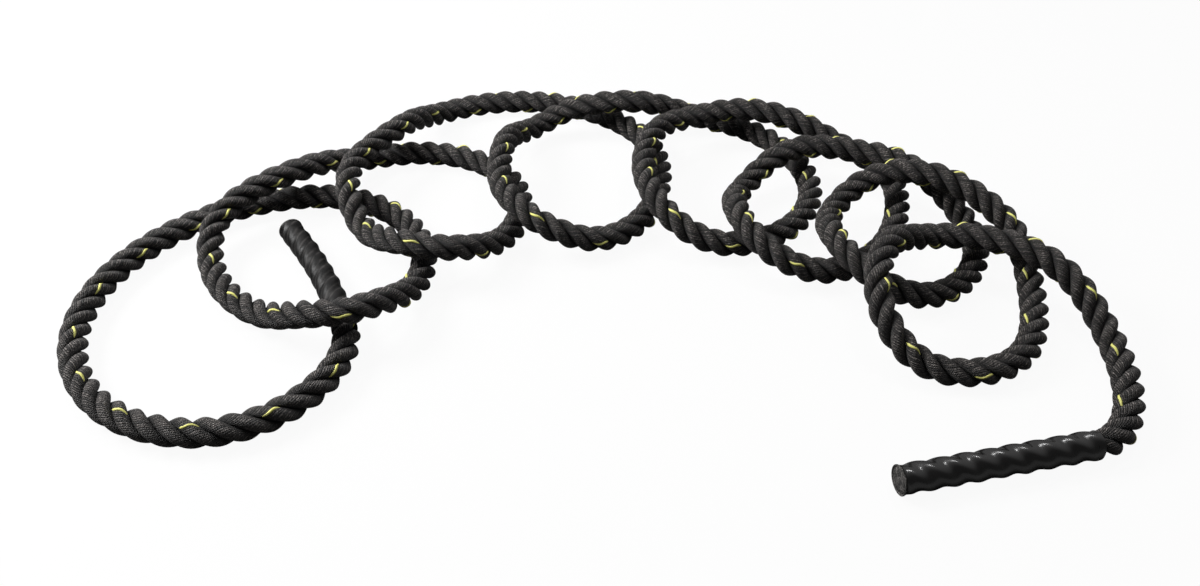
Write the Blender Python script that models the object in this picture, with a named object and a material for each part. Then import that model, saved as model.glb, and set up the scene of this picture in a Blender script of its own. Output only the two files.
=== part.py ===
"""Battle rope: a thick laid rope, lying on the floor in eight open loops, with a shrunk sleeve on each end."""

import math

import bmesh
import bpy
import numpy as np

# Rope, in metres
rope_diameter = 0.038
lay_length = 0.088
strand_count = 3
tube_step = 0.042
tube_resolution = 1
route_step = 0.008
rope_sharp_angle = math.radians(50.0)
handle_sharp_angle = math.radians(40.0)

# The rope lies on the floor, pressed flat by this share of its diameter
rest_flat_share = 0.1
crossing_gap = 0.007
hump_bend_radius = 0.20
hump_smoothing = 0.045
same_stretch_diameters = 6
lay_passes = 12
gap_samples = 8

# Handle sleeves, shrunk onto the last of the rope at each end
sleeve_length = 0.245
sleeve_wall = 0.0018
sleeve_mean_radius = 0.0169
lobe_height = 0.0011
sleeve_sides = 24
sleeve_steps = 48
bore_steps = 16
fit_gap = 0.0003

# End plugs, a rimmed disc with a short spigot in the sleeve
plug_rim_radius = 0.0184
plug_thickness = 0.003
plug_spigot_length = 0.012
plug_bevel = 0.0008
plug_sides = 32

# Tape round each cut end of the rope
tape_thickness = 0.0007
tape_length = 0.035
tape_inset = 0.004

# How far the rope stays narrow past a sleeve's mouth, and how far it takes to fill out again
neck_overrun = 0.004
neck_length = 0.018
# How far the rope takes to come down from the sleeve's height to the floor
settle_length = 0.12

# Places on the floor, about the middle of the whole layout
layout_middle = (0.0012, 0.0026)
# The outer end of each handle, the way it points along the rope, and its bend
far_handle_end = (-0.431, 0.0545)
far_handle_angle = math.radians(-56.6)
far_handle_bend = math.radians(-13.0)
near_handle_end = (0.354, -0.414)
near_handle_angle = math.radians(12.5)
near_handle_bend = 0.0

# The route between the two sleeve mouths, chosen point by point from the photograph
route_points = [
    (-0.340, -0.280),
    (-0.435, -0.340),
    (-0.570, -0.310),
    (-0.655, -0.200),
    (-0.665, -0.085),
    (-0.599, 0.049),
    (-0.490, 0.123),
    (-0.365, 0.135),
    (-0.265, 0.070),
    (-0.231, -0.055),
    (-0.311, -0.173),
    (-0.412, -0.146),
    (-0.516, -0.045),
    (-0.533, 0.036),
    (-0.433, 0.148),
    (-0.330, 0.245),
    (-0.210, 0.250),
    (-0.118, 0.176),
    (-0.110, 0.060),
    (-0.200, -0.037),
    (-0.310, 0.020),
    (-0.351, 0.170),
    (-0.295, 0.275),
    (-0.245, 0.375),
    (-0.160, 0.415),
    (-0.009, 0.392),
    (0.090, 0.295),
    (0.105, 0.160),
    (0.044, 0.046),
    (-0.062, 0.026),
    (-0.130, 0.118),
    (-0.134, 0.190),
    (-0.118, 0.274),
    (-0.055, 0.345),
    (0.035, 0.347),
    (0.202, 0.356),
    (0.307, 0.271),
    (0.330, 0.130),
    (0.255, 0.035),
    (0.133, 0.033),
    (0.083, 0.190),
    (0.120, 0.280),
    (0.185, 0.320),
    (0.345, 0.290),
    (0.447, 0.231),
    (0.452, 0.090),
    (0.361, -0.031),
    (0.253, -0.033),
    (0.215, 0.109),
    (0.275, 0.190),
    (0.400, 0.210),
    (0.497, 0.142),
    (0.546, 0.070),
    (0.490, -0.080),
    (0.385, -0.090),
    (0.340, 0.040),
    (0.402, 0.121),
    (0.520, 0.090),
    (0.593, 0.014),
    (0.595, -0.105),
    (0.530, -0.225),
    (0.420, -0.230),
    (0.374, -0.176),
    (0.476, -0.013),
    (0.574, -0.041),
    (0.659, -0.140),
    (0.666, -0.251),
]

# Colours, roughness and metallic value of each material
rope_finish = ((0.018, 0.018, 0.019, 1.0), 0.85, 0.0)
sleeve_finish = ((0.010, 0.010, 0.011, 1.0), 0.28, 0.0)
plug_finish = ((0.030, 0.030, 0.032, 1.0), 0.75, 0.0)
tape_finish = ((0.040, 0.040, 0.042, 1.0), 0.45, 0.0)

# Sizes that follow from the ones above
rope_radius = rope_diameter / 2
rest_height = rope_radius - rest_flat_share * rope_diameter
same_stretch = same_stretch_diameters * rope_diameter
sleeve_bore_radius = sleeve_mean_radius - lobe_height - sleeve_wall
neck_radius = sleeve_bore_radius - fit_gap
tape_outer_radius = sleeve_bore_radius - fit_gap
tape_inner_radius = tape_outer_radius - tape_thickness
taped_radius = tape_inner_radius - fit_gap
handle_height = plug_rim_radius
rope_end_inset = plug_spigot_length + fit_gap
straight_length = rope_end_inset + tape_inset + tape_length
far_handle = (far_handle_end, far_handle_angle, far_handle_bend)
near_handle = (near_handle_end, near_handle_angle, near_handle_bend)


def clear_scene():
    for item in list(bpy.data.objects):
        bpy.data.objects.remove(item, do_unlink=True)


def material(name, finish):
    colour, roughness, metallic = finish
    made = bpy.data.materials.new(name)
    made.use_nodes = True
    shader = made.node_tree.nodes["Principled BSDF"]
    shader.inputs["Base Color"].default_value = colour
    shader.inputs["Roughness"].default_value = roughness
    shader.inputs["Metallic"].default_value = metallic
    return made


def direction(angle):
    return np.array([np.cos(angle), np.sin(angle)])


def on_handle(handle, x, aside=0.0):
    """The place on the floor this far along a handle: straight at the plug and the tape, then one even bend."""
    start, angle, bend = handle
    curved = max(x - straight_length, 0)
    half = bend * curved / (sleeve_length - straight_length) / 2
    chord = curved * np.sinc(half / math.pi)
    middle = np.array(start) - layout_middle + min(x, straight_length) * direction(angle)
    middle = middle + chord * direction(angle + half)
    return middle + aside * direction(angle + 2 * half + math.pi / 2)


def distances(points):
    """How far along the line each of its points lies."""
    steps = np.linalg.norm(np.diff(points, axis=0), axis=1)
    return np.concatenate([[0], np.cumsum(steps)])


def smooth_curve(points, start_way, end_way, step):
    """Points a step apart on the cubic spline through the given points, leaving and arriving the given ways."""
    along = distances(points)
    gap = np.diff(along)
    rows = len(points)
    matrix = np.eye(rows)
    slopes = np.zeros((rows, 2))
    slopes[0] = start_way
    slopes[-1] = end_way
    chord = np.diff(points, axis=0) / gap[:, None]
    for i in range(1, rows - 1):
        matrix[i, i - 1] = gap[i]
        matrix[i, i] = 2 * (gap[i - 1] + gap[i])
        matrix[i, i + 1] = gap[i - 1]
        slopes[i] = 3 * (gap[i] * chord[i - 1] + gap[i - 1] * chord[i])
    slopes = np.linalg.solve(matrix, slopes)
    where = np.linspace(0, along[-1], round(along[-1] / step) + 1)
    piece = np.clip(np.searchsorted(along, where, side="right") - 1, 0, rows - 2)
    width = gap[piece]
    t = ((where - along[piece]) / width)[:, None]
    width = width[:, None]
    from_start = (2 * t**3 - 3 * t**2 + 1) * points[piece] + (t**3 - 2 * t**2 + t) * width * slopes[piece]
    from_end = (3 * t**2 - 2 * t**3) * points[piece + 1] + (t**3 - t**2) * width * slopes[piece + 1]
    return from_start + from_end


def plan_route():
    """The whole rope seen from above, from its far end to its near end."""
    far_way = direction(far_handle_angle + far_handle_bend)
    near_way = -direction(near_handle_angle + near_handle_bend)
    mouths = [on_handle(handle, sleeve_length) for handle in (far_handle, near_handle)]
    points = np.array(route_points) - layout_middle
    free = smooth_curve(np.array([mouths[0], *points, mouths[1]]), far_way, near_way, route_step)
    inside = np.linspace(rope_end_inset, sleeve_length, round(sleeve_length / route_step), endpoint=False)
    far_run = [on_handle(far_handle, x) for x in inside]
    near_run = [on_handle(near_handle, x) for x in inside[::-1]]
    return np.concatenate([far_run, free, near_run])


def base_height(along):
    """Height of the rope's middle with nothing under it: on the floor, and level in the sleeves."""
    sleeved = sleeve_length - rope_end_inset
    from_mouth = np.minimum(along, along[-1] - along) - sleeved
    share = np.clip(1 - from_mouth / settle_length, 0, 1)
    ramp = share**2 * (3 - 2 * share)
    return rest_height + (handle_height - rest_height) * ramp


def blurred(values, along, width):
    """The values averaged over a bell of this width along the rope."""
    weight = np.exp(-(((along[:, None] - along[None]) / width) ** 2))
    return weight @ values / weight.sum(axis=1)


def lay_heights(plan):
    """Height of the rope's middle all along: each stretch lies over the ones laid down before it."""
    along = distances(plan)
    base = base_height(along)
    reach = rope_diameter + crossing_gap
    apart = np.linalg.norm(plan[:, None] - plan[None], axis=2)
    later = along[:, None] - along[None] > same_stretch
    crosses = later & (apart < reach)
    rise = np.sqrt(np.maximum(reach**2 - apart**2, 0))
    away = np.abs(along[:, None] - along[None]) / hump_bend_radius
    sag = hump_bend_radius * (np.sqrt(1 + 2 * away**2) - 1)
    height = base
    for _ in range(lay_passes):
        lift = np.where(crosses, height[None] + rise, base[:, None]).max(axis=1)
        draped = (lift[None] - sag).max(axis=1)
        height = np.maximum(blurred(np.maximum(draped, base), along, hump_smoothing), base)
    return height


def least_gap(points, radius):
    """Smallest free space between stretches of the tube that aren't neighbours along it."""
    fine = []
    for start, end in zip(points[:-1], points[1:]):
        fine += [start + (end - start) * share for share in np.linspace(0, 1, gap_samples, endpoint=False)]
    fine = np.array(fine)
    along = distances(fine)
    apart = np.linalg.norm(fine[:, None] - fine[None], axis=2)
    apart[np.abs(along[:, None] - along[None]) < same_stretch] = apart.max()
    return apart.min() - 2 * radius


def tube_rows():
    """Middle points and radii of the rope's tube."""
    plan = plan_route()
    height = lay_heights(plan)
    whole = np.column_stack([plan, height])
    along = distances(whole)
    length = along[-1]
    neck_start = sleeve_length - rope_end_inset + neck_overrun
    taped = tape_inset + tape_length
    full = neck_start + neck_length
    ends = [0, taped, *np.linspace(taped + fit_gap, neck_start, bore_steps)]
    free = np.linspace(full, length - full, round((length - 2 * full) / tube_step) + 1)
    places = np.array([*ends, *free, *(length - np.array(ends[::-1]))])
    rows = np.column_stack([np.interp(places, along, whole[:, axis]) for axis in range(3)])
    from_end = np.minimum(places, length - places)
    stations = [0, taped, taped + fit_gap, neck_start, full]
    radii = np.interp(from_end, stations, [taped_radius, taped_radius, neck_radius, neck_radius, rope_radius])
    return rows, radii, length


def add_rope():
    rows, radii, length = tube_rows()
    curve = bpy.data.curves.new("rope_curve", "CURVE")
    curve.dimensions = "3D"
    curve.twist_mode = "Z_UP"
    curve.bevel_depth = 1
    curve.bevel_resolution = tube_resolution
    curve.use_fill_caps = True
    spline = curve.splines.new("POLY")
    spline.points.add(len(rows) - 1)
    for point, place, radius in zip(spline.points, rows, radii):
        point.co = (*place, 1)
        point.radius = radius
    guide = bpy.data.objects.new("rope_guide", curve)
    bpy.context.collection.objects.link(guide)
    mesh = bpy.data.meshes.new_from_object(guide.evaluated_get(bpy.context.evaluated_depsgraph_get()))
    mesh.name = "rope"
    bpy.data.objects.remove(guide, do_unlink=True)
    bm = bmesh.new()
    bm.from_mesh(mesh)
    bmesh.ops.remove_doubles(bm, verts=bm.verts, dist=fit_gap / 10)
    press = bmesh.ops.bisect_plane(
        bm,
        geom=[*bm.verts, *bm.edges, *bm.faces],
        plane_co=(0, 0, 0),
        plane_no=(0, 0, -1),
        clear_outer=True,
    )
    cut = [item for item in press["geom_cut"] if isinstance(item, bmesh.types.BMEdge)]
    bmesh.ops.holes_fill(bm, edges=cut)
    bmesh.ops.recalc_face_normals(bm, faces=bm.faces)
    bm.to_mesh(mesh)
    bm.free()
    mesh.shade_smooth()
    mesh.set_sharp_from_angle(angle=rope_sharp_angle)
    rope = bpy.data.objects.new("rope", mesh)
    bpy.context.collection.objects.link(rope)
    mesh.materials.clear()
    mesh.materials.append(material("rope_black", rope_finish))
    print(f"rope {length:.3f} m, least gap {least_gap(rows, rope_radius) * 1000:.2f} mm")
    return rope


def finish_mesh(bm, name, look, handle):
    """Lays a piece modelled along +X from the origin onto its handle, bent as the handle is."""
    for vert in bm.verts:
        along, aside, up = vert.co
        vert.co = (*on_handle(handle, along, aside), handle_height + up)
    bmesh.ops.recalc_face_normals(bm, faces=bm.faces)
    mesh = bpy.data.meshes.new(name)
    bm.to_mesh(mesh)
    bm.free()
    mesh.shade_smooth()
    mesh.set_sharp_from_angle(angle=handle_sharp_angle)
    mesh.materials.append(look)
    piece = bpy.data.objects.new(name, mesh)
    bpy.context.collection.objects.link(piece)
    return piece


def ring(bm, x, radii):
    """One closed ring of vertices round the X axis, a radius for each."""
    turn = 2 * math.pi / len(radii)
    return [bm.verts.new((x, r * math.cos(i * turn), r * math.sin(i * turn))) for i, r in enumerate(radii)]


def skin(bm, first, second):
    count = len(first)
    for i in range(count):
        j = (i + 1) % count
        bm.faces.new((first[i], first[j], second[j], second[i]))


def skin_rings(bm, rings):
    for first, second in zip(rings[:-1], rings[1:]):
        skin(bm, first, second)


def lobed_radii(x):
    """Outside radii of the sleeve here: it shows the strands that it has shrunk onto."""
    twist = 2 * math.pi * x / lay_length
    turns = [2 * math.pi * k / sleeve_sides - twist for k in range(sleeve_sides)]
    return [sleeve_mean_radius + lobe_height * math.cos(strand_count * turn) for turn in turns]


def add_sleeve(name, look, handle):
    """A thin tube, lobed outside, round its plain bore."""
    bm = bmesh.new()
    outer = [ring(bm, x, lobed_radii(x)) for x in np.linspace(fit_gap, sleeve_length, sleeve_steps + 1)]
    bore = [sleeve_bore_radius] * sleeve_sides
    inner = [ring(bm, x, bore) for x in np.linspace(fit_gap, sleeve_length, bore_steps + 1)]
    skin_rings(bm, outer)
    skin_rings(bm, inner)
    skin(bm, inner[0], outer[0])
    skin(bm, outer[-1], inner[-1])
    return finish_mesh(bm, name, look, handle)


def add_plug(name, look, handle):
    """The rimmed disc that closes the sleeve's outer end, on a spigot in its bore."""
    spigot_radius = sleeve_bore_radius - fit_gap
    profile = [
        (-plug_thickness, 0),
        (-plug_thickness, plug_rim_radius - plug_bevel),
        (-plug_thickness + plug_bevel, plug_rim_radius),
        (-plug_bevel / 2, plug_rim_radius),
        (0, plug_rim_radius - plug_bevel / 2),
        (0, spigot_radius),
        (plug_spigot_length, spigot_radius),
        (plug_spigot_length, 0),
    ]
    bm = bmesh.new()
    outline = [bm.verts.new((x, r, 0)) for x, r in profile]
    edges = [bm.edges.new(pair) for pair in zip(outline[:-1], outline[1:])]
    bmesh.ops.spin(
        bm,
        geom=[*outline, *edges],
        cent=(0, 0, 0),
        axis=(1, 0, 0),
        angle=2 * math.pi,
        steps=plug_sides,
        use_merge=True,
    )
    bmesh.ops.remove_doubles(bm, verts=bm.verts, dist=fit_gap / 10)
    return finish_mesh(bm, name, look, handle)


def add_tape(name, look, handle):
    """A turn of tape round the rope's cut end, hidden in the sleeve."""
    start = rope_end_inset + tape_inset
    bm = bmesh.new()
    rings = [
        ring(bm, x, [radius] * plug_sides)
        for x, radius in (
            (start, tape_outer_radius),
            (start + tape_length, tape_outer_radius),
            (start + tape_length, tape_inner_radius),
            (start, tape_inner_radius),
        )
    ]
    skin_rings(bm, [*rings, rings[0]])
    return finish_mesh(bm, name, look, handle)


def build():
    clear_scene()
    add_rope()
    sleeve_look = material("sleeve_black", sleeve_finish)
    plug_look = material("plug_grey", plug_finish)
    tape_look = material("tape_grey", tape_finish)
    for side, handle in (("far", far_handle), ("near", near_handle)):
        add_sleeve(f"{side}_handle_sleeve", sleeve_look, handle)
        add_plug(f"{side}_end_plug", plug_look, handle)
        add_tape(f"{side}_end_tape", tape_look, handle)


build()
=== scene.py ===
import math

import bmesh
import bpy
import numpy as np
from mathutils import Matrix


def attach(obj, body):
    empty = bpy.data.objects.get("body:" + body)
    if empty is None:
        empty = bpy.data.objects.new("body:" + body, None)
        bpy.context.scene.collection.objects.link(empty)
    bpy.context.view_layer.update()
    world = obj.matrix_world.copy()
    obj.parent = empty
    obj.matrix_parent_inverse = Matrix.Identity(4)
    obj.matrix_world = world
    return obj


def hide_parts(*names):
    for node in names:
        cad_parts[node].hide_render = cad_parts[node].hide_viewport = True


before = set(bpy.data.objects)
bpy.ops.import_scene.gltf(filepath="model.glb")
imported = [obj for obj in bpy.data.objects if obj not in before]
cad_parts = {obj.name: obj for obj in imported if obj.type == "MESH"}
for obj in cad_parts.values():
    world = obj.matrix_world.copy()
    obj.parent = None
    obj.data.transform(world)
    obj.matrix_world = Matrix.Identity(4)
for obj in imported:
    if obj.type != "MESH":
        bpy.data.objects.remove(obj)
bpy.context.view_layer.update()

# Camera, as found from the photograph: it looks along +Y and down
viewCamera = {"place": (0.0146, -1.2375, 0.9817), "tiltDegrees": 50.0, "lens": 33.3, "sensorWidth": 36.0}


def addCamera():
    data = bpy.data.cameras.new("viewCamera")
    data.sensor_fit = "HORIZONTAL"
    data.sensor_width = viewCamera["sensorWidth"]
    data.lens = viewCamera["lens"]
    made = bpy.data.objects.new("viewCamera", data)
    made.location = viewCamera["place"]
    made.rotation_euler = (math.radians(viewCamera["tiltDegrees"]), 0, 0)
    bpy.context.collection.objects.link(made)
    bpy.context.scene.camera = made


addCamera()
print("camera placed")

# The rope's route over the floor, the same as in the part's source. Lengths are metres.
ropeRoute = {
    "diameter": 0.038,
    "crownReach": 0.0185,
    "routeStep": 0.004,
    "crossingGap": 0.007,
    "humpBendRadius": 0.20,
    "humpSmoothing": 0.045,
    "sameStretchDiameters": 6,
    "layPasses": 12,
    "layoutMiddle": (0.0012, 0.0026),
    "endInset": 0.0123,
}
# Each handle: where its cap is, which way it points from there, and how far it bends
handleLayout = {
    "length": 0.245,
    "straightLength": 0.0513,
    "height": 0.0184,
    "settleLength": 0.12,
    "far": ((-0.431, 0.0545), math.radians(-56.6), math.radians(-13.0)),
    "near": ((0.354, -0.414), math.radians(12.5), 0.0),
}
routePoints = [
    (-0.340, -0.280), (-0.435, -0.340), (-0.570, -0.310), (-0.655, -0.200), (-0.665, -0.085), (-0.599, 0.049),
    (-0.490, 0.123), (-0.365, 0.135), (-0.265, 0.070), (-0.231, -0.055), (-0.311, -0.173), (-0.412, -0.146),
    (-0.516, -0.045), (-0.533, 0.036), (-0.433, 0.148), (-0.330, 0.245), (-0.210, 0.250), (-0.118, 0.176),
    (-0.110, 0.060), (-0.200, -0.037), (-0.310, 0.020), (-0.351, 0.170), (-0.295, 0.275), (-0.245, 0.375),
    (-0.160, 0.415), (-0.009, 0.392), (0.090, 0.295), (0.105, 0.160), (0.044, 0.046), (-0.062, 0.026),
    (-0.130, 0.118), (-0.134, 0.190), (-0.118, 0.274), (-0.055, 0.345), (0.035, 0.347), (0.202, 0.356),
    (0.307, 0.271), (0.330, 0.130), (0.255, 0.035), (0.133, 0.033), (0.083, 0.190), (0.120, 0.280),
    (0.185, 0.320), (0.345, 0.290), (0.447, 0.231), (0.452, 0.090), (0.361, -0.031), (0.253, -0.033),
    (0.215, 0.109), (0.275, 0.190), (0.400, 0.210), (0.497, 0.142), (0.546, 0.070), (0.490, -0.080),
    (0.385, -0.090), (0.340, 0.040), (0.402, 0.121), (0.520, 0.090), (0.593, 0.014), (0.595, -0.105),
    (0.530, -0.225), (0.420, -0.230), (0.374, -0.176), (0.476, -0.013), (0.574, -0.041), (0.659, -0.140),
    (0.666, -0.251),
]


def direction(angle):
    return np.array([np.cos(angle), np.sin(angle)])


def onHandle(handle, x, aside=0.0):
    # a handle is straight at its cap and then bends evenly
    start, angle, bend = handle
    straight = handleLayout["straightLength"]
    curved = max(x - straight, 0)
    half = bend * curved / (handleLayout["length"] - straight) / 2
    middle = np.array(start) - ropeRoute["layoutMiddle"] + min(x, straight) * direction(angle)
    middle = middle + curved * np.sinc(half / math.pi) * direction(angle + half)
    return middle + aside * direction(angle + 2 * half + math.pi / 2)


def distances(points):
    return np.concatenate([[0], np.cumsum(np.linalg.norm(np.diff(points, axis=0), axis=1))])


def smoothCurve(points, startWay, endWay, step):
    # cubic spline through the points
    along = distances(points)
    gap = np.diff(along)
    count = len(points)
    matrix = np.eye(count)
    slopes = np.zeros((count, 2))
    slopes[0] = startWay
    slopes[-1] = endWay
    chord = np.diff(points, axis=0) / gap[:, None]
    for i in range(1, count - 1):
        matrix[i, i - 1 : i + 2] = gap[i], 2 * (gap[i - 1] + gap[i]), gap[i - 1]
        slopes[i] = 3 * (gap[i] * chord[i - 1] + gap[i - 1] * chord[i])
    slopes = np.linalg.solve(matrix, slopes)
    where = np.linspace(0, along[-1], round(along[-1] / step) + 1)
    piece = np.clip(np.searchsorted(along, where, side="right") - 1, 0, count - 2)
    width = gap[piece][:, None]
    t = (where - along[piece])[:, None] / width
    fromStart = (2 * t**3 - 3 * t**2 + 1) * points[piece] + (t**3 - 2 * t**2 + t) * width * slopes[piece]
    fromEnd = (3 * t**2 - 2 * t**3) * points[piece + 1] + (t**3 - t**2) * width * slopes[piece + 1]
    return fromStart + fromEnd


def planRoute():
    far, near = handleLayout["far"], handleLayout["near"]
    length = handleLayout["length"]
    step = ropeRoute["routeStep"]
    farWay = direction(far[1] + far[2])
    nearWay = -direction(near[1] + near[2])
    mouths = [onHandle(far, length), onHandle(near, length)]
    points = np.array(routePoints) - ropeRoute["layoutMiddle"]
    free = smoothCurve(np.array([mouths[0], *points, mouths[1]]), farWay, nearWay, step)
    inside = np.linspace(ropeRoute["endInset"], length, round(length / step), endpoint=False)
    farRun = [onHandle(far, x) for x in inside]
    nearRun = [onHandle(near, x) for x in inside[::-1]]
    return np.concatenate([farRun, free, nearRun])


def layHeights(plan):
    # every later stretch lies over the earlier ones in a long low hump
    along = distances(plan)
    diameter = ropeRoute["diameter"]
    reach = diameter + ropeRoute["crossingGap"]
    fromMouth = np.minimum(along, along[-1] - along) - handleLayout["length"] + ropeRoute["endInset"]
    share = np.clip(1 - fromMouth / handleLayout["settleLength"], 0, 1)
    floorHeight = ropeRoute["crownReach"]
    base = floorHeight + (handleLayout["height"] - floorHeight) * share**2 * (3 - 2 * share)
    apart = np.linalg.norm(plan[:, None] - plan[None], axis=2)
    between = along[:, None] - along[None]
    crosses = (between > ropeRoute["sameStretchDiameters"] * diameter) & (apart < reach)
    rise = np.sqrt(np.maximum(reach**2 - apart**2, 0))
    bendRadius = ropeRoute["humpBendRadius"]
    sag = bendRadius * (np.sqrt(1 + 2 * (between / bendRadius) ** 2) - 1)
    bell = np.exp(-((between / ropeRoute["humpSmoothing"]) ** 2))
    bell /= bell.sum(axis=1)[:, None]
    height = base
    for _ in range(ropeRoute["layPasses"]):
        lift = np.where(crosses, height[None] + rise, base).max(axis=1)
        draped = np.maximum((lift[None] - sag).max(axis=1), base)
        height = np.maximum(bell @ draped, base)
    return height


weldDistance = 1e-6

# The rope: three strands laid right-handed, each of yarns that turn the other way
ropeStrands = {
    "layLength": 0.092,
    "startTwist": 0.4,
    "startTurning": math.radians(200.0),
    "loopTwist": 1.0,
    "rowsPerLay": 30,
    "sides": 28,
    "middle": 0.0100,
    "crownRadius": 0.0100,
    "cornerHardness": 9,
    "outlinePoints": 721,
    "yarnTurnsPerLay": 2.0,
    "crownShear": 0.30,
    "firstAngle": math.radians(12.0),
    "mouthShare": 0.84,
    "fillLength": 0.016,
}


def ropePath():
    plan = planRoute()
    whole = np.column_stack([plan, layHeights(plan)])
    along = distances(whole)
    rows = round(along[-1] / ropeStrands["layLength"] * ropeStrands["rowsPerLay"])
    where = np.linspace(0, along[-1], rows + 1)
    path = np.column_stack([np.interp(where, along, whole[:, axis]) for axis in range(3)])
    return path, where


def ropeFrames(path):
    # up and side directions square to the rope, all along it
    ahead = np.gradient(path, axis=0)
    ahead /= np.linalg.norm(ahead, axis=1)[:, None]
    side = np.cross(ahead, (0, 0, 1))
    side /= np.linalg.norm(side, axis=1)[:, None]
    return np.cross(side, ahead), side


def ropeFullness(where):
    # the sleeves squeeze the rope, and it fills out again past their mouths
    sleeved = handleLayout["length"] - ropeRoute["endInset"]
    past = np.minimum(where, where[-1] - where) - sleeved
    share = np.clip(past / ropeStrands["fillLength"], 0, 1)
    squeezed = ropeStrands["mouthShare"]
    return squeezed + (1 - squeezed) * share**2 * (3 - 2 * share)


def strandOutline(share):
    # A strand's section: a round crown, and flanks pressed flat against the two other strands.
    # Gives places outward and sideways from the strand's middle, this share of the way round from its crown.
    middle = ropeStrands["middle"]
    crownRadius = ropeStrands["crownRadius"]
    offset = middle + crownRadius - ropeRoute["crownReach"]
    hardness = ropeStrands["cornerHardness"]
    flankAngle = math.pi * 5 / 6
    flankReach = middle * math.sin(math.pi / 3)
    angle = np.linspace(0, 2 * math.pi, ropeStrands["outlinePoints"])
    crown = np.sqrt(crownRadius**2 - (offset * np.sin(angle)) ** 2) - offset * np.cos(angle)
    nearness = crown**-hardness
    for flank in (-1, 1):
        facing = np.maximum(np.cos(angle - flank * flankAngle), 0)
        nearness += (facing / flankReach) ** hardness
    reach = nearness ** (-1 / hardness)
    outline = np.column_stack([reach * np.cos(angle), reach * np.sin(angle)])
    way = distances(outline)
    wanted = np.mod(share, 1) * way[-1]
    return np.interp(wanted, way, outline[:, 0]), np.interp(wanted, way, outline[:, 1])


def strandTurns(path, where):
    # angle of the first strand round the rope: each clockwise loop winds it on by one more turn,
    # and the start of the first one by less
    ahead = np.gradient(path, axis=0)
    heading = np.unwrap(np.arctan2(ahead[:, 1], ahead[:, 0]))
    turned = heading[0] - heading
    atStart = np.minimum(turned, ropeStrands["startTurning"])
    twist = ropeStrands["startTwist"] * atStart + ropeStrands["loopTwist"] * (turned - atStart)
    return 2 * math.pi * where / ropeStrands["layLength"] + ropeStrands["firstAngle"] + twist


def strandAxes(turn, up, side, index):
    # directions from the rope's middle to a strand, and round the rope, all along it
    angle = turn + 2 * math.pi * index / 3
    cosine = np.cos(angle)[:, None]
    sine = np.sin(angle)[:, None]
    return cosine * up + sine * side, cosine * side - sine * up


def addPiece(name, mesh, look):
    piece = bpy.data.objects.new(name, mesh)
    bpy.context.collection.objects.link(piece)
    mesh.materials.clear()
    mesh.materials.append(look)
    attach(piece, "root")
    return piece


def strandPiece(index, path, where, turn, up, side, look):
    sides = ropeStrands["sides"]
    rows = len(path)
    bm = bmesh.new()
    bmesh.ops.create_grid(bm, x_segments=sides, y_segments=rows - 1, size=1)
    name = f"ropeStrand{index + 1}"
    mesh = bpy.data.meshes.new(name)
    bm.to_mesh(mesh)
    bm.free()
    flat = np.empty(len(mesh.vertices) * 3)
    mesh.vertices.foreach_get("co", flat)
    column = np.rint((flat[0::3] + 1) / 2 * sides).astype(int)
    row = np.rint((flat[1::3] + 1) / 2 * (rows - 1)).astype(int)
    # wrap the sheet round the strand
    outward, around = strandAxes(turn, up, side, index)
    full = ropeFullness(where)[:, None]
    share = column / sides - 0.5
    away, aside = strandOutline(share)
    away = (away + ropeStrands["middle"])[:, None]
    wrapped = path[row] + full[row] * (away * outward[row] + aside[:, None] * around[row])
    mesh.vertices.foreach_set("co", wrapped.ravel())
    # u counts turns round the strand in step with its yarns, v is metres along the rope
    corner = np.empty(len(mesh.loops), dtype=np.int32)
    mesh.loops.foreach_get("vertex_index", corner)
    turns = share - ropeStrands["crownShear"] * np.sin(2 * math.pi * share) / (2 * math.pi)
    u = turns[corner] + ropeStrands["yarnTurnsPerLay"] * where[row[corner]] / ropeStrands["layLength"]
    layer = mesh.uv_layers.new(name="strandMap")
    layer.uv.foreach_set("vector", np.column_stack([u, where[row[corner]]]).ravel())
    crown = mesh.attributes.new("crown", "FLOAT", "POINT")
    crown.data.foreach_set("value", 0.5 + 0.5 * np.cos(2 * math.pi * share))
    bm = bmesh.new()
    bm.from_mesh(mesh)
    bmesh.ops.remove_doubles(bm, verts=bm.verts, dist=weldDistance)
    bmesh.ops.holes_fill(bm, edges=[edge for edge in bm.edges if edge.is_boundary])
    bmesh.ops.recalc_face_normals(bm, faces=bm.faces)
    bm.to_mesh(mesh)
    bm.free()
    mesh.shade_smooth()
    return addPiece(name, mesh, look)


# One yellow yarn shows wherever it comes to the outside of its strand
tracerYarn = {
    "radius": 0.0019,
    "roundness": 1,
    "sunk": 0.0007,
    "dive": 0.0048,
    "diveSharpness": 4,
    "inSleeve": 0.02,
    "pointsPerTurn": 28,
    "turnPasses": 12,
    "strand": 1,
    "startTurn": 0.08,
    "strong": (1.0, 0.96, 0.08, 1),
    "pale": (1.0, 1.0, 0.50, 1),
    "fibreScale": 900.0,
    "reliefDepth": 0.0004,
}


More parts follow.
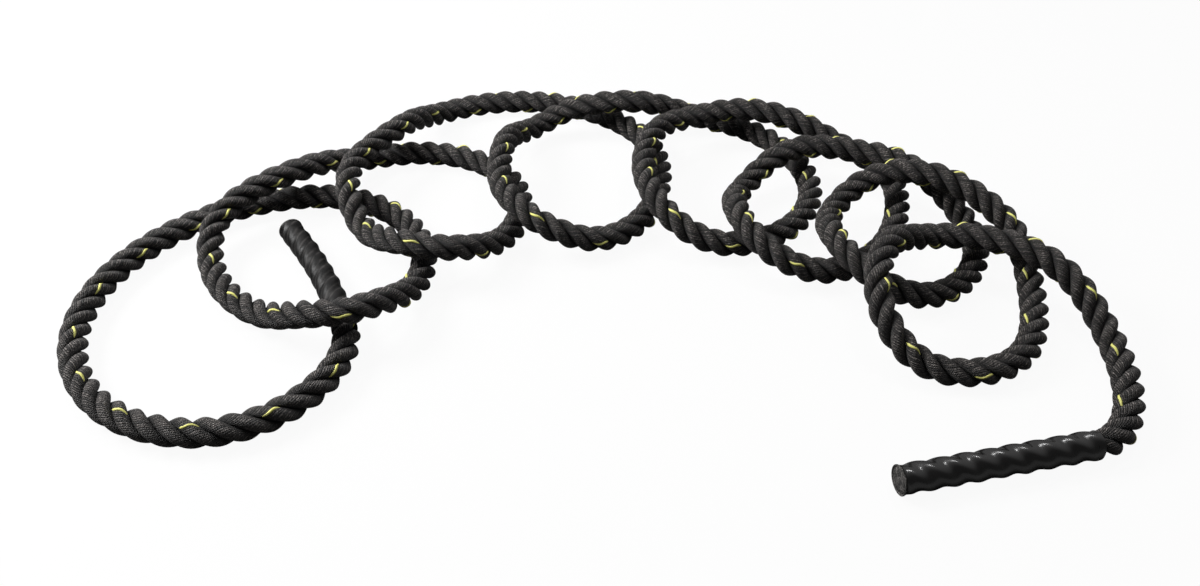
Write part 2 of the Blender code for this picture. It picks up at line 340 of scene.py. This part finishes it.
def tracerPiece(path, where, turn, up, side, look):
    turnsPerMetre = ropeStrands["yarnTurnsPerLay"] / ropeStrands["layLength"]
    covered = handleLayout["length"] - ropeRoute["endInset"] - tracerYarn["inSleeve"]
    count = round((where[-1] - 2 * covered) * turnsPerMetre * tracerYarn["pointsPerTurn"])
    fine = np.linspace(covered, where[-1] - covered, count)

    def finer(values):
        return np.column_stack([np.interp(fine, where, values[:, axis]) for axis in range(3)])

    fineTurn = np.interp(fine, where, turn)
    outward, around = strandAxes(fineTurn, finer(up), finer(side), tracerYarn["strand"])
    # it keeps its place among the other yarns, which lean at the crown
    even = -(turnsPerMetre * fine + tracerYarn["startTurn"])
    share = even
    for _ in range(tracerYarn["turnPasses"]):
        share = even + ropeStrands["crownShear"] * np.sin(2 * math.pi * share) / (2 * math.pi)
    away, aside = strandOutline(share)
    # it dips under the other yarns between the crowns
    sunk = tracerYarn["sunk"] + tracerYarn["dive"] * np.sin(math.pi * share) ** tracerYarn["diveSharpness"]
    depth = 1 - sunk / np.hypot(away, aside)
    full = np.interp(fine, where, ropeFullness(where))[:, None]
    away = (away * depth + ropeStrands["middle"])[:, None]
    aside = (aside * depth)[:, None]
    points = finer(path) + full * (away * outward + aside * around)
    curve = bpy.data.curves.new("tracerGuide", "CURVE")
    curve.dimensions = "3D"
    curve.bevel_depth = tracerYarn["radius"]
    curve.bevel_resolution = tracerYarn["roundness"]
    curve.use_fill_caps = True
    spline = curve.splines.new("POLY")
    spline.points.add(len(points) - 1)
    spline.points.foreach_set("co", np.column_stack([points, np.ones(len(points))]).ravel())
    guide = bpy.data.objects.new("tracerGuide", curve)
    bpy.context.collection.objects.link(guide)
    evaluated = guide.evaluated_get(bpy.context.evaluated_depsgraph_get())
    mesh = bpy.data.meshes.new_from_object(evaluated)
    mesh.name = "tracerYarn"
    bpy.data.objects.remove(guide, do_unlink=True)
    mesh.shade_smooth()
    return addPiece("tracerYarn", mesh, look)


# Materials
def newLook(name):
    look = bpy.data.materials.new(name)
    look.use_nodes = True
    tree = look.node_tree
    return look, tree, tree.nodes["Principled BSDF"]


def node(tree, kind, inputs=None, **settings):
    made = tree.nodes.new(kind)
    for key, value in settings.items():
        setattr(made, key, value)
    for key, value in (inputs or {}).items():
        if isinstance(value, bpy.types.NodeSocket):
            tree.links.new(value, made.inputs[key])
        else:
            made.inputs[key].default_value = value
    return made


def maths(tree, operation, first, second=0.0, third=0.0):
    made = node(tree, "ShaderNodeMath", {0: first, 1: second, 2: third}, operation=operation)
    return made.outputs[0]


def blendColour(tree, share, first, second):
    made = node(tree, "ShaderNodeMix", data_type="RGBA")
    for socket, value in ((made.inputs[0], share), (made.inputs[6], first), (made.inputs[7], second)):
        if isinstance(value, bpy.types.NodeSocket):
            tree.links.new(value, socket)
        else:
            socket.default_value = value
    return made.outputs[2]


def grain(tree, vector, scale, detail=2.0, roughness=0.5):
    inputs = {"Vector": vector, "Scale": scale, "Detail": detail, "Roughness": roughness}
    return node(tree, "ShaderNodeTexNoise", inputs).outputs["Fac"]


def objectPlace(tree):
    return node(tree, "ShaderNodeTexCoord").outputs["Object"]


def stretched(tree, share, first, last):
    # brings a texture's middle range to 0..1
    inputs = {"Value": share, "From Min": first, "From Max": last}
    return node(tree, "ShaderNodeMapRange", inputs, clamp=True).outputs["Result"]


def raised(tree, value, lowest):
    # brings 0..1 to lowest..1
    return maths(tree, "MULTIPLY_ADD", value, 1 - lowest, lowest)


def times(tree, first, second):
    return maths(tree, "MULTIPLY", first, second)


def relief(tree, shader, height, strength, distance):
    bump = node(tree, "ShaderNodeBump", {"Height": height, "Strength": strength, "Distance": distance})
    tree.links.new(bump.outputs["Normal"], shader.inputs["Normal"])


yarnLook = {
    "count": 25,
    # painted shade in the gaps between the yarns
    "gapShade": (0.0012, 0.0011, 0.0011, 1),
    "yarn": (0.092, 0.080, 0.074, 1),
    # pale worn fibres, also used as painted highlights
    "fibreGlint": (0.700, 0.635, 0.595, 1),
    "driftScale": 55.0,
    "drift": 1.2,
    "edgeSharpness": 4.0,
    "darkestYarn": 0.15,
    # crown wear, and painted shade on the flanks towards the grooves between the strands
    "crownWearAndShade": (0.36, 0.9),
    "flankWearAndShade": 0.07,
    "pliesPerMetre": 430.0,
    "plySlant": 0.4,
    "beadHeight": 0.3,
    "speckleWidth": 0.9,
    "specklesPerMetre": 360.0,
    "speckleRange": (0.45, 0.62),
    "speckleHeight": 0.3,
    "wearScale": 26.0,
    "wearRange": (0.3, 0.7),
    "leastGlint": 0.4,
    "reliefDepth": 0.0018,
}


def ropeLook():
    look, tree, shader = newLook("ropeYarn")
    spot = node(tree, "ShaderNodeUVMap", uv_map="strandMap").outputs["UV"]
    parts = node(tree, "ShaderNodeSeparateXYZ", {"Vector": spot}).outputs
    place = objectPlace(tree)
    drift = times(tree, grain(tree, place, yarnLook["driftScale"], 1.0), yarnLook["drift"])
    phase = maths(tree, "MULTIPLY_ADD", parts["X"], yarnLook["count"], drift)
    across = times(tree, maths(tree, "SUBTRACT", maths(tree, "FRACT", phase), 0.5), 2.0)
    yarn = maths(tree, "WRAP", maths(tree, "FLOOR", phase), yarnLook["count"], 0.0)
    chance = node(tree, "ShaderNodeTexWhiteNoise", {"W": yarn}, noise_dimensions="1D").outputs["Value"]
    ridge = maths(tree, "SQRT", maths(tree, "SUBTRACT", 1.0, times(tree, across, across)))
    # the plies of each yarn make slanting beads along it
    slant = maths(tree, "MULTIPLY_ADD", across, yarnLook["plySlant"], chance)
    ply = maths(tree, "MULTIPLY_ADD", parts["Y"], yarnLook["pliesPerMetre"], slant)
    bead = maths(tree, "MULTIPLY_ADD", maths(tree, "SINE", times(tree, ply, 2 * math.pi)), 0.5, 0.5)
    # pale worn fibres fleck the crowns, and the same pale flecks are painted highlights on the yarns
    speckleX = times(tree, phase, yarnLook["speckleWidth"])
    speckleY = times(tree, parts["Y"], yarnLook["specklesPerMetre"])
    fine = node(tree, "ShaderNodeCombineXYZ", {"X": speckleX, "Y": speckleY}).outputs[0]
    speckle = stretched(tree, grain(tree, fine, 1.0), *yarnLook["speckleRange"])
    wear = stretched(tree, grain(tree, place, yarnLook["wearScale"], 3.0), *yarnLook["wearRange"])
    crown = node(tree, "ShaderNodeAttribute", attribute_name="crown").outputs["Fac"]
    # paler worn crowns, and painted shade: each strand's flanks darken towards the grooves between the
    # strands
    wearAndFlankShade = raised(tree, stretched(tree, crown, *yarnLook["crownWearAndShade"]), yarnLook["flankWearAndShade"])
    # painted shade: each yarn darkens towards its edges, down to the gap colour between the yarns; its tone
    # also differs at random from yarn to yarn
    toneAndShade = maths(tree, "POWER", ridge, yarnLook["edgeSharpness"])
    toneAndShade = times(tree, toneAndShade, raised(tree, chance, yarnLook["darkestYarn"]))
    toneAndShade = times(tree, toneAndShade, wearAndFlankShade)
    body = blendColour(tree, toneAndShade, yarnLook["gapShade"], yarnLook["yarn"])
    # pale worn-fibre flecks that are also painted highlights, only on the yarn tops
    glint = times(tree, times(tree, speckle, toneAndShade), raised(tree, bead, yarnLook["leastGlint"]))
    glint = times(tree, glint, raised(tree, wear, yarnLook["leastGlint"]))
    tree.links.new(blendColour(tree, glint, body, yarnLook["fibreGlint"]), shader.inputs["Base Color"])
    shader.inputs["Roughness"].default_value = 0.6
    shader.inputs["Sheen Weight"].default_value = 0.08
    shader.inputs["Sheen Roughness"].default_value = 0.4
    height = maths(tree, "MULTIPLY_ADD", speckle, yarnLook["speckleHeight"], ridge)
    height = maths(tree, "MULTIPLY_ADD", bead, yarnLook["beadHeight"], height)
    relief(tree, shader, height, 1.0, yarnLook["reliefDepth"])
    return look


def tracerLook():
    look, tree, shader = newLook("tracerYellow")
    fibres = grain(tree, objectPlace(tree), tracerYarn["fibreScale"])
    colour = blendColour(tree, fibres, tracerYarn["strong"], tracerYarn["pale"])
    tree.links.new(colour, shader.inputs["Base Color"])
    shader.inputs["Roughness"].default_value = 0.55
    relief(tree, shader, fibres, 0.4, tracerYarn["reliefDepth"])
    return look


# Handles: a sleeve shrunk onto the three strands, and a rimmed cap on its end
handleSleeve = {
    "capSpace": 0.0003,
    "lobeLay": 0.088,
    "sides": 72,
    "rows": 150,
    "middleRadius": {"far": 0.0167, "near": 0.0171},
    "lobe": {"far": 0.0010, "near": 0.0012},
    "lobeWaver": 0.12,
    "waverRadiansPerMetre": 90,
    "waverStart": 1,
    "capLength": 0.016,
    "capSqueeze": 0.0004,
    "lobeAtCap": 0.15,
    "mouthLength": 0.006,
    "mouthSpread": 0.0003,
    "lobeAtMouth": 0.7,
    "flare": {"far": 0.0001, "near": 0.0009},
    "flareLength": 0.003,
    "wall": 0.0014,
    "lip": 0.008,
    "sharpDegrees": 50,
}
endCap = {
    "rimRadius": {"far": 0.0174, "near": 0.0183},
    "thickness": 0.003,
    # how far behind the front, and at what share of the rim's radius
    "face": [(0.0004, 0.0), (0.0005, 0.55)],
    # how far behind the front, and how far in from the rim
    "groove": [(0.0007, 0.0036), (0.0015, 0.0028), (0.0003, 0.0016)],
    "rim": [(0.0, 0.0007), (0.0004, 0.0001), (0.0010, 0.0)],
    # place along the handle, and how far in from the rim
    "behind": [(-0.0010, 0.0002), (-0.0002, 0.0012)],
    "spigotRadius": 0.0135,
    "spigotLength": 0.012,
    "sides": 64,
    "sharpDegrees": 45,
}


def layOnHandle(bm, handle):
    for vert in bm.verts:
        along, aside, above = vert.co
        vert.co = (*onHandle(handle, along, aside), handleLayout["height"] + above)


def lobeAngle(end, where, turn):
    # where the first lobe starts at the cap, for it to meet the first strand at the mouth
    covered = handleLayout["length"] - ropeRoute["endInset"]
    wound = 2 * math.pi * handleLayout["length"] / handleSleeve["lobeLay"]
    if end == "far":
        return math.pi / 2 - wound + np.interp(covered, where, turn)
    return math.pi / 2 - wound - np.interp(where[-1] - covered, where, turn)


def sleevePiece(end, where, turn, look):
    size = handleSleeve
    handle = handleLayout[end]
    length = handleLayout["length"]
    start = size["capSpace"]
    lay = size["lobeLay"]
    bm = bmesh.new()
    upright = Matrix.Translation((start, 0, 0)) @ Matrix.Rotation(math.pi / 2, 4, "Y")
    bmesh.ops.create_circle(bm, cap_ends=False, segments=size["sides"], radius=1.0, matrix=upright)
    bmesh.ops.spin(
        bm,
        geom=[*bm.verts, *bm.edges],
        cent=(0, 0, 0),
        axis=(1, 0, 0),
        dvec=((length - start) / size["rows"], 0, 0),
        angle=2 * math.pi * (length - start) / lay,
        steps=size["rows"],
        use_merge=False,
    )
    firstLobe = lobeAngle(end, where, turn)
    waves = []
    for vert in bm.verts:
        x, y, z = vert.co
        wave = math.cos(3 * (math.atan2(z, y) - firstLobe - 2 * math.pi * x / lay))
        waves.append(wave)
        wave *= 1 + size["lobeWaver"] * math.sin(size["waverRadiansPerMetre"] * x + size["waverStart"])
        # the lobes are shallower at the cap and at the mouth
        fromCap = min(x / size["capLength"], 1)
        fromCap *= fromCap * (3 - 2 * fromCap)
        toMouth = min((length - x) / size["mouthLength"], 1)
        depth = size["lobeAtCap"] + (1 - size["lobeAtCap"]) * fromCap
        depth *= size["lobeAtMouth"] + (1 - size["lobeAtMouth"]) * toMouth
        radius = size["middleRadius"][end] + size["lobe"][end] * wave * depth
        radius += size["mouthSpread"] * (1 - toMouth) - size["capSqueeze"] * (1 - fromCap)
        radius += size["flare"][end] * max(1 - x / size["flareLength"], 0) ** 2
        vert.co = (x, y * radius, z * radius)
    # fold the mouth's edge over to the inside, which gives the wall its thickness
    mouth = [edge for edge in bm.edges if edge.is_boundary and edge.verts[0].co.x > length / 2]
    for inward, deeper in ((size["wall"], 0.0), (0.0, size["lip"])):
        fold = bmesh.ops.extrude_edge_only(bm, edges=mouth)["geom"]
        mouth = [item for item in fold if isinstance(item, bmesh.types.BMEdge) and item.is_boundary]
        for vert in {vert for edge in mouth for vert in edge.verts}:
            reach = math.hypot(vert.co.y, vert.co.z)
            share = (reach - inward) / reach
            vert.co = (vert.co.x - deeper, vert.co.y * share, vert.co.z * share)
    layOnHandle(bm, handle)
    bmesh.ops.recalc_face_normals(bm, faces=bm.faces)
    mesh = bpy.data.meshes.new(f"{end}Sleeve")
    bm.to_mesh(mesh)
    bm.free()
    lobe = mesh.attributes.new("lobe", "FLOAT", "POINT")
    lobe.data.foreach_set("value", waves + [0.0] * (len(mesh.vertices) - len(waves)))
    mesh.shade_smooth()
    mesh.set_sharp_from_angle(angle=math.radians(size["sharpDegrees"]))
    piece = addPiece(f"{end}Sleeve", mesh, look)
    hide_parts(f"{end}_handle_sleeve")
    return piece


def capPiece(end, look):
    size = endCap
    rim = size["rimRadius"][end]
    front = -size["thickness"]
    profile = [
        *[(front + behind, rim * share) for behind, share in size["face"]],
        *[(front + behind, rim - inward) for behind, inward in size["groove"] + size["rim"]],
        *[(place, rim - inward) for place, inward in size["behind"]],
        (0.0, size["spigotRadius"]),
        (size["spigotLength"], size["spigotRadius"]),
        (size["spigotLength"], 0.0),
    ]
    bm = bmesh.new()
    outline = [bm.verts.new((x, r, 0)) for x, r in profile]
    edges = [bm.edges.new(pair) for pair in zip(outline[:-1], outline[1:])]
    bmesh.ops.spin(
        bm,
        geom=[*outline, *edges],
        cent=(0, 0, 0),
        axis=(1, 0, 0),
        angle=2 * math.pi,
        steps=size["sides"],
        use_merge=True,
    )
    bmesh.ops.remove_doubles(bm, verts=bm.verts, dist=weldDistance)
    layOnHandle(bm, handleLayout[end])
    bmesh.ops.recalc_face_normals(bm, faces=bm.faces)
    mesh = bpy.data.meshes.new(f"{end}Cap")
    bm.to_mesh(mesh)
    bm.free()
    mesh.shade_smooth()
    mesh.set_sharp_from_angle(angle=math.radians(size["sharpDegrees"]))
    piece = addPiece(f"{end}Cap", mesh, look)
    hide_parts(f"{end}_end_plug")
    return piece


sleeveFinish = {
    "far": {
        "dark": (0.003, 0.003, 0.003, 1),
        "pale": (0.012, 0.011, 0.011, 1),
        "smooth": 0.40,
        "dull": 0.60,
        "crease": 1.0,
        # how strongly the painted crease highlight shows
        "paleShare": 0.9,
        "narrow": 1.6,
        "grit": 0.35,
        "shine": 0.20,
    },
    "near": {
        "dark": (0.003, 0.0027, 0.0027, 1),
        "pale": (0.010, 0.009, 0.009, 1),
        "smooth": 0.24,
        "dull": 0.29,
        "crease": 0.0,
        "paleShare": 0.0,
        "narrow": 5.0,
        "grit": 0.0,
        "shine": 1.0,
    },
}
sleeveSurface = {
    "mottleScale": 60.0,
    "mottleRange": (0.3, 0.7),
    "creaseScale": 45.0,
    "creaseWander": 1.6,
    "creaseShift": -0.6,
    # colour of the painted highlight along the creases
    "creaseHighlight": (0.075, 0.070, 0.068, 1),
    "gritScale": 240.0,
    "reliefDepth": 0.0005,
}


def sleeveLook(end):
    look, tree, shader = newLook(f"{end}SleevePlastic")
    finish = sleeveFinish[end]
    surface = sleeveSurface
    place = objectPlace(tree)
    mottle = stretched(tree, grain(tree, place, surface["mottleScale"], 4.0), *surface["mottleRange"])
    body = blendColour(tree, mottle, finish["dark"], finish["pale"])
    inputs = {"Value": mottle, "To Min": finish["smooth"], "To Max": finish["dull"]}
    rough = node(tree, "ShaderNodeMapRange", inputs).outputs["Result"]
    tree.links.new(rough, shader.inputs["Roughness"])
    shader.inputs["Specular IOR Level"].default_value = finish["shine"]
    # soft creases run along the flanks of the lobes
    lobe = node(tree, "ShaderNodeAttribute", attribute_name="lobe").outputs["Fac"]
    lobe = maths(tree, "ADD", lobe, surface["creaseShift"])
    wander = grain(tree, place, surface["creaseScale"])
    shifted = maths(tree, "MULTIPLY_ADD", wander, surface["creaseWander"], lobe)
    crease = times(tree, maths(tree, "ABSOLUTE", shifted), finish["narrow"])
    crease = maths(tree, "MAXIMUM", maths(tree, "SUBTRACT", 1.0, crease), 0.0)
    # painted highlight: the colour pales along the creases on the lobes' flanks, standing in for streaks of
    # light there; the crease relief itself is bump
    paleShare = times(tree, times(tree, crease, mottle), finish["paleShare"])
    tree.links.new(blendColour(tree, paleShare, body, surface["creaseHighlight"]), shader.inputs["Base Color"])
    crease = times(tree, crease, finish["crease"])
    grit = grain(tree, place, surface["gritScale"], 3.0)
    height = maths(tree, "MULTIPLY_ADD", grit, finish["grit"], crease)
    relief(tree, shader, height, 0.6, surface["reliefDepth"])
    return look


capFinish = {
    "dark": (0.006, 0.006, 0.006, 1),
    "pale": (0.255, 0.240, 0.227, 1),
    "pitScale": 420.0,
    "pitRange": (0.38, 0.62),
    "scuffScale": 160.0,
    "scuffRange": (0.42, 0.6),
    "leastScuffed": 0.2,
    "reliefDepth": 0.0009,
}


def capLook():
    look, tree, shader = newLook("capRough")
    place = objectPlace(tree)
    pits = stretched(tree, grain(tree, place, capFinish["pitScale"], 5.0, 0.65), *capFinish["pitRange"])
    scuffs = stretched(tree, grain(tree, place, capFinish["scuffScale"], 3.0), *capFinish["scuffRange"])
    paleShare = times(tree, pits, raised(tree, scuffs, capFinish["leastScuffed"]))
    colour = blendColour(tree, paleShare, capFinish["dark"], capFinish["pale"])
    tree.links.new(colour, shader.inputs["Base Color"])
    shader.inputs["Roughness"].default_value = 0.6
    relief(tree, shader, pits, 0.8, capFinish["reliefDepth"])
    return look


tapeFinish = {
    "dark": (0.020, 0.020, 0.022, 1),
    "pale": (0.050, 0.050, 0.053, 1),
    "weaveScale": 400.0,
    "unevenness": 0.5,
    "reliefDepth": 0.0003,
}


def tapeLook():
    look, tree, shader = newLook("bindingTape")
    inputs = {
        "Vector": objectPlace(tree),
        "Scale": tapeFinish["weaveScale"],
        "Distortion": tapeFinish["unevenness"],
    }
    weave = node(tree, "ShaderNodeTexWave", inputs).outputs["Fac"]
    colour = blendColour(tree, weave, tapeFinish["dark"], tapeFinish["pale"])
    tree.links.new(colour, shader.inputs["Base Color"])
    shader.inputs["Roughness"].default_value = 0.55
    relief(tree, shader, weave, 0.4, tapeFinish["reliefDepth"])
    return look


path, where = ropePath()
up, side = ropeFrames(path)
turn = strandTurns(path, where)
yarns = ropeLook()
strands = [strandPiece(index, path, where, turn, up, side, yarns) for index in range(3)]
tracer = tracerPiece(path, where, turn, up, side, tracerLook())
for strand in strands:
    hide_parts("rope")
print(f"rope laid, {distances(path)[-1]:.3f} m")

capRough = capLook()
binding = tapeLook()
for end in ("far", "near"):
    sleevePiece(end, where, turn, sleeveLook(end))
    capPiece(end, capRough)
    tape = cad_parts[f"{end}_end_tape"]
    tape.data.materials.clear()
    tape.data.materials.append(binding)
print("handles dressed")

# A pale floor, a white world and soft lamps
studio = {
    "floorSize": 12.0,
    "floorGlow": 0.94,
    "floorSeen": 0.92,
    "floorMirrored": 0.28,
    "floorLit": 0.07,
    "ambient": 0.02,
    "backGlow": 0.36,
    "glowRange": (0.3, 1.2),
    "skyMirrored": 0.06,
    "white": (1, 1, 1, 1),
}
softboxes = {
    "backSoftbox": {"place": (-0.6, 1.0, 2.1), "aim": (0, 0, 0), "size": (0.8, 0.3), "power": 11},
    "topSoftbox": {"place": (0.75, 0.5, 2.2), "aim": (0.4, -0.3, 0), "size": (0.30, 0.20), "power": 7},
    "leftSoftbox": {"place": (-1.9, 0.4, 1.4), "aim": (-0.5, 0, 0), "size": (1.0, 0.8), "power": 54},
}


def seenRays(tree, rays):
    return maths(tree, "MAXIMUM", rays["Is Camera Ray"], rays["Is Transmission Ray"])


def addFloor():
    bm = bmesh.new()
    bmesh.ops.create_grid(bm, x_segments=1, y_segments=1, size=studio["floorSize"] / 2)
    mesh = bpy.data.meshes.new("studioFloor")
    bm.to_mesh(mesh)
    bm.free()
    floor = bpy.data.objects.new("studioFloor", mesh)
    bpy.context.collection.objects.link(floor)
    look, tree, shader = newLook("floorPale")
    shader.inputs["Roughness"].default_value = 0.9
    shader.inputs["Specular IOR Level"].default_value = 0.1
    rays = node(tree, "ShaderNodeLightPath").outputs
    # it is seen near white and mirrored grey, and lights the object as a dark one would
    seen = seenRays(tree, rays)
    glossy = times(tree, rays["Is Glossy Ray"], studio["floorMirrored"] - studio["floorLit"])
    pale = maths(tree, "MULTIPLY_ADD", seen, studio["floorSeen"] - studio["floorLit"], studio["floorLit"])
    tree.links.new(maths(tree, "ADD", pale, glossy), shader.inputs["Base Color"])
    glow = node(tree, "ShaderNodeEmission", {"Color": studio["white"], "Strength": 1.0})
    share = times(tree, seen, studio["floorGlow"])
    mixed = node(tree, "ShaderNodeMixShader", {0: share, 1: shader.outputs[0], 2: glow.outputs[0]})
    tree.links.new(mixed.outputs[0], tree.nodes["Material Output"].inputs["Surface"])
    mesh.materials.append(look)


def addWorld():
    world = bpy.data.worlds.new("studioWorld")
    bpy.context.scene.world = world
    world.use_nodes = True
    tree = world.node_tree
    rays = node(tree, "ShaderNodeLightPath").outputs
    seen = maths(tree, "MULTIPLY_ADD", rays["Is Glossy Ray"], studio["skyMirrored"], seenRays(tree, rays))
    # the room is brighter above and behind the rope than in front of it
    way = node(tree, "ShaderNodeTexCoord").outputs["Generated"]
    toward = node(tree, "ShaderNodeSeparateXYZ", {"Vector": way}).outputs
    lean = stretched(tree, maths(tree, "ADD", toward["Y"], toward["Z"]), *studio["glowRange"])
    room = maths(tree, "MULTIPLY_ADD", lean, studio["backGlow"] - studio["ambient"], studio["ambient"])
    strength = node(tree, "ShaderNodeMapRange", {"Value": seen, "To Min": room, "To Max": 1.0})
    sky = tree.nodes["Background"]
    sky.inputs["Color"].default_value = studio["white"]
    tree.links.new(strength.outputs["Result"], sky.inputs["Strength"])


def addLamp(name, place, aim, size, power):
    data = bpy.data.lights.new(name, "AREA")
    data.shape = "RECTANGLE"
    data.size, data.size_y = size
    data.energy = power
    lamp = bpy.data.objects.new(name, data)
    lamp.location = place
    toward = np.array(aim) - np.array(place)
    level = math.hypot(toward[0], toward[1])
    lamp.rotation_euler = (math.atan2(level, -toward[2]), 0, math.atan2(-toward[0], toward[1]))
    bpy.context.collection.objects.link(lamp)


addFloor()
addWorld()
for name, softbox in softboxes.items():
    addLamp(name, **softbox)
bpy.context.scene.view_settings.view_transform = "Standard"
print("studio lit")
